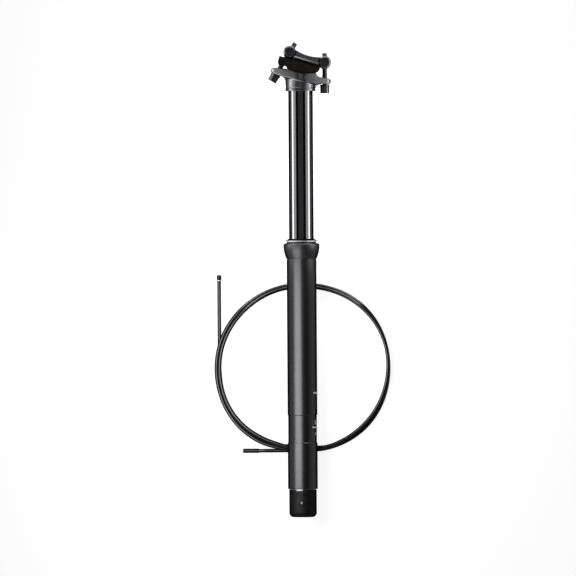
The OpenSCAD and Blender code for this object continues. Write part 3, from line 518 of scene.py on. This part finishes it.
def jaw_lips(name, u_low, u_high, body):
    """A raised lip along each jaw's lower edge, from one place across the post to another"""
    # Places along the clamp's own axis and out from the post's middle
    section = [(-4.4, 25.6), (-4.5, 27.0), (-4.2, 27.3), (-2.6, 26.6), (-2.6, 26.2)]
    middle_n = -3.5
    corners = len(section)
    # The lip tapers a little towards its ends
    stations = [(u_low, 0.4), (u_low + 0.6, 0.0), (u_high - 0.6, 0.0), (u_high, 0.4)]
    points = []
    faces = []
    for side in (-1, 1):
        first = len(points)
        for u, inset in stations:
            start = len(points)
            for n, z in section:
                along = n + inset * (middle_n - n) / 2
                points.append((CLAMP_CENTRE + u * CLAMP_U + along * CLAMP_N
                               + Vector((0, 0, side * (z - inset)))) * MM)
            if start > first:
                faces += [(start - corners + k, start + k, start + (k + 1) % corners,
                           start - corners + (k + 1) % corners) for k in range(corners)]
        faces += [tuple(range(first, first + corners)), tuple(range(start, start + corners))]
    piece = from_points(name, points, faces, 50)
    dress(piece, "head_black", body)


jaw_lips("jaw_lips", -13.2, 13.2, "clamp")

# Rolled rim round each end of the yoke's cross sleeves, as radius and height from the sleeve's middle
SLEEVE_RIM = [(5.1, 17.8), (5.1, 18.5), (5.35, 18.5), (6.8, 17.15), (6.85, 17.0), (6.5, 16.8)]
for end, barrel in (("rear", REAR_BARREL), ("front", FRONT_BARREL)):
    for level, side in (("upper", 1), ("lower", -1)):
        rim = turned(end + "_sleeve_rim_" + level, SLEEVE_RIM, barrel, side * UP, 72)
        dress(rim, "head_black", "clamp")


def tube_marks(name, marks, r, body):
    """Etched marks on a tube, each between two angles from straight up and two places along it"""
    sunk = -0.05
    proud = 0.03
    points = []
    faces = []
    for a_low, a_high, y_low, y_high in marks:
        steps = max(2, round((a_high - a_low) / 3))
        start = len(points)
        for i in range(steps + 1):
            a = math.radians(a_low + (a_high - a_low) * i / steps)
            for depth, y in ((sunk, y_low), (proud, y_low), (proud, y_high), (sunk, y_high)):
                points.append(Vector(((r + depth) * math.sin(a), y, (r + depth) * math.cos(a))) * MM)
        last = start + 4 * steps
        faces += [(start, start + 1, start + 2, start + 3), (last + 3, last + 2, last + 1, last)]
        for i in range(steps):
            for k in range(4):
                near = start + 4 * i + k
                next_near = start + 4 * i + (k + 1) % 4
                faces.append((near, near + 4, next_near + 4, next_near))
    piece = from_points(name, points, faces)
    dress(piece, "etched_alloy", body)


INSERT_R = 15.8
tube_marks("insert_marks", [(47, 78, -142.2, -140.7), (43, 74, -178.7, -177.2), (56, 62, -174.9, -170.7),
                            (61, 66, -186.6, -183.2)], INSERT_R, "lower")

# Bright lip at the open end of the ferrule on the long housing's tail
lip = turned("long_tail_lip", [(2.02, -0.7), (2.3, -0.7), (2.5, -0.5), (2.5, -0.1), (2.4, 0), (2.02, 0)],
             long_route[0], ALONG, 48)
dress(lip, "bare_alloy", "cable")

for piece, length_name in ((long_housing, "long"), (short_housing, "short")):
    dress(piece, "cable_jacket", "cable")
    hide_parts(length_name + "_housing_coil", length_name + "_housing_tail")


def math_result(tree, operation, first, second):
    """A math node's result from one value and a second value or number"""
    node = tree.nodes.new("ShaderNodeMath")
    node.operation = operation
    tree.links.new(first, node.inputs[0])
    if isinstance(second, float):
        node.inputs[1].default_value = second
    else:
        tree.links.new(second, node.inputs[1])
    return node.outputs[0]


def floor_finish(own, level):
    """Grey to the lamps' light, with a glow for camera, glossy and transmission rays alone, so that the
    floor shows as white and keeps the part's shadow"""
    material = bpy.data.materials.new("floor")
    material.use_nodes = True
    tree = material.node_tree
    tree.nodes.clear()
    out = tree.nodes.new("ShaderNodeOutputMaterial")
    matt = tree.nodes.new("ShaderNodeBsdfDiffuse")
    matt.inputs["Color"].default_value = (own, own, own, 1)
    glow = tree.nodes.new("ShaderNodeEmission")
    rays = tree.nodes.new("ShaderNodeLightPath").outputs
    seen = math_result(tree, "MAXIMUM", rays["Is Camera Ray"], rays["Is Glossy Ray"])
    seen = math_result(tree, "MAXIMUM", seen, rays["Is Transmission Ray"])
    tree.links.new(math_result(tree, "MULTIPLY", seen, level), glow.inputs["Strength"])
    both = tree.nodes.new("ShaderNodeAddShader")
    tree.links.new(matt.outputs[0], both.inputs[0])
    tree.links.new(glow.outputs[0], both.inputs[1])
    tree.links.new(both.outputs[0], out.inputs["Surface"])
    return material


def square_floor(half, z):
    mesh = bpy.data.meshes.new("floor")
    corners = [(-half, -half, z), (half, -half, z), (half, half, z), (-half, half, z)]
    mesh.from_pydata(corners, [], [(0, 1, 2, 3)])
    piece = bpy.data.objects.new("floor", mesh)
    scene.collection.objects.link(piece)
    return piece


# The floor lies a hair below the lowest cable
floor = square_floor(30.0, TABLE_Z * MM - 0.0001)
floor.data.materials.append(floor_finish(0.2, 0.88))


def sky(horizon, zenith, low, high):
    """A world with one strength at the horizon and another overhead, between two heights of the direction"""
    world = bpy.data.worlds.new("world")
    scene.world = world
    world.use_nodes = True
    tree = world.node_tree
    background = tree.nodes["Background"]
    background.inputs["Color"].default_value = (1, 1, 1, 1)
    direction = tree.nodes.new("ShaderNodeTexCoord")
    split = tree.nodes.new("ShaderNodeSeparateXYZ")
    fall = tree.nodes.new("ShaderNodeMapRange")
    fall.interpolation_type = "SMOOTHSTEP"
    fall.inputs["From Min"].default_value = low
    fall.inputs["From Max"].default_value = high
    fall.inputs["To Min"].default_value = horizon
    fall.inputs["To Max"].default_value = zenith
    tree.links.new(direction.outputs["Generated"], split.inputs[0])
    tree.links.new(split.outputs["Z"], fall.inputs["Value"])
    tree.links.new(fall.outputs["Result"], background.inputs["Strength"])


sky(0.5, 0.04, 0.4, 0.75)


def lamp(name, place, back, up, width, length, radiance):
    """An area lamp that shines away from its back, of a given radiance whatever its size"""
    data = bpy.data.lights.new(name, "AREA")
    data.shape = "RECTANGLE"
    data.size = width
    data.size_y = length
    data.energy = radiance * math.pi * width * length
    light = bpy.data.objects.new(name, data)
    light.location = place
    side = up.cross(back)
    light.rotation_euler = Matrix((side, up, back)).transposed().to_euler()
    light.visible_camera = False
    scene.collection.objects.link(light)


def panel(name, low, high, distance, y_low, y_high, radiance):
    """A panel between two angles from straight up, seen from the post's axis, over a stretch of the post"""
    middle = math.radians((low + high) / 2)
    back = Vector((math.sin(middle), 0, math.cos(middle)))
    width = 2 * distance * math.tan(math.radians(abs(high - low) / 2))
    place = back * distance + Vector((0, (y_low + y_high) / 2, 0))
    lamp(name, place, back, ALONG, width, y_high - y_low, radiance)


# The gloss tube's bright edge lines, the grey bands beside them and its dull middle
panel("strip_left", -87, -69, 0.12, 0.017, 0.28, 21)
panel("strip_right", 67.5, 84, 0.12, 0.017, 0.28, 21)
panel("grey_left", -67, -45, 0.12, 0.015, 0.28, 4.2)
panel("grey_right", 43, 66, 0.12, 0.015, 0.28, 4.0)
panel("overhead", -24, 21, 0.6, 0.02, 0.36, 0.42)
# The satin tube's broad band, left of its middle
panel("key", -58, -8, 0.22, -0.27, 0.004, 7.0)
# An upright panel beyond the head, facing back along the post
lamp("top_light", Vector((0, 0.31, 0.03)), ALONG, UP, 0.16, 0.1, 9.0)
# A small lamp close above the head's plate, and one that looks back and down at the clamp's lips
lamp("plate_light", Vector((-0.002, 0.199, 0.13)), UP, Vector((0.17, 0.985, 0)), 0.034, 0.012, 6.0)
lamp("head_light", Vector((0, 0.44, 0.19)), Vector((0, 0.77, 0.638)), Vector((0, 0.638, -0.77)), 0.3, 0.1,
     6.0)

scene.view_settings.view_transform = "Standard"
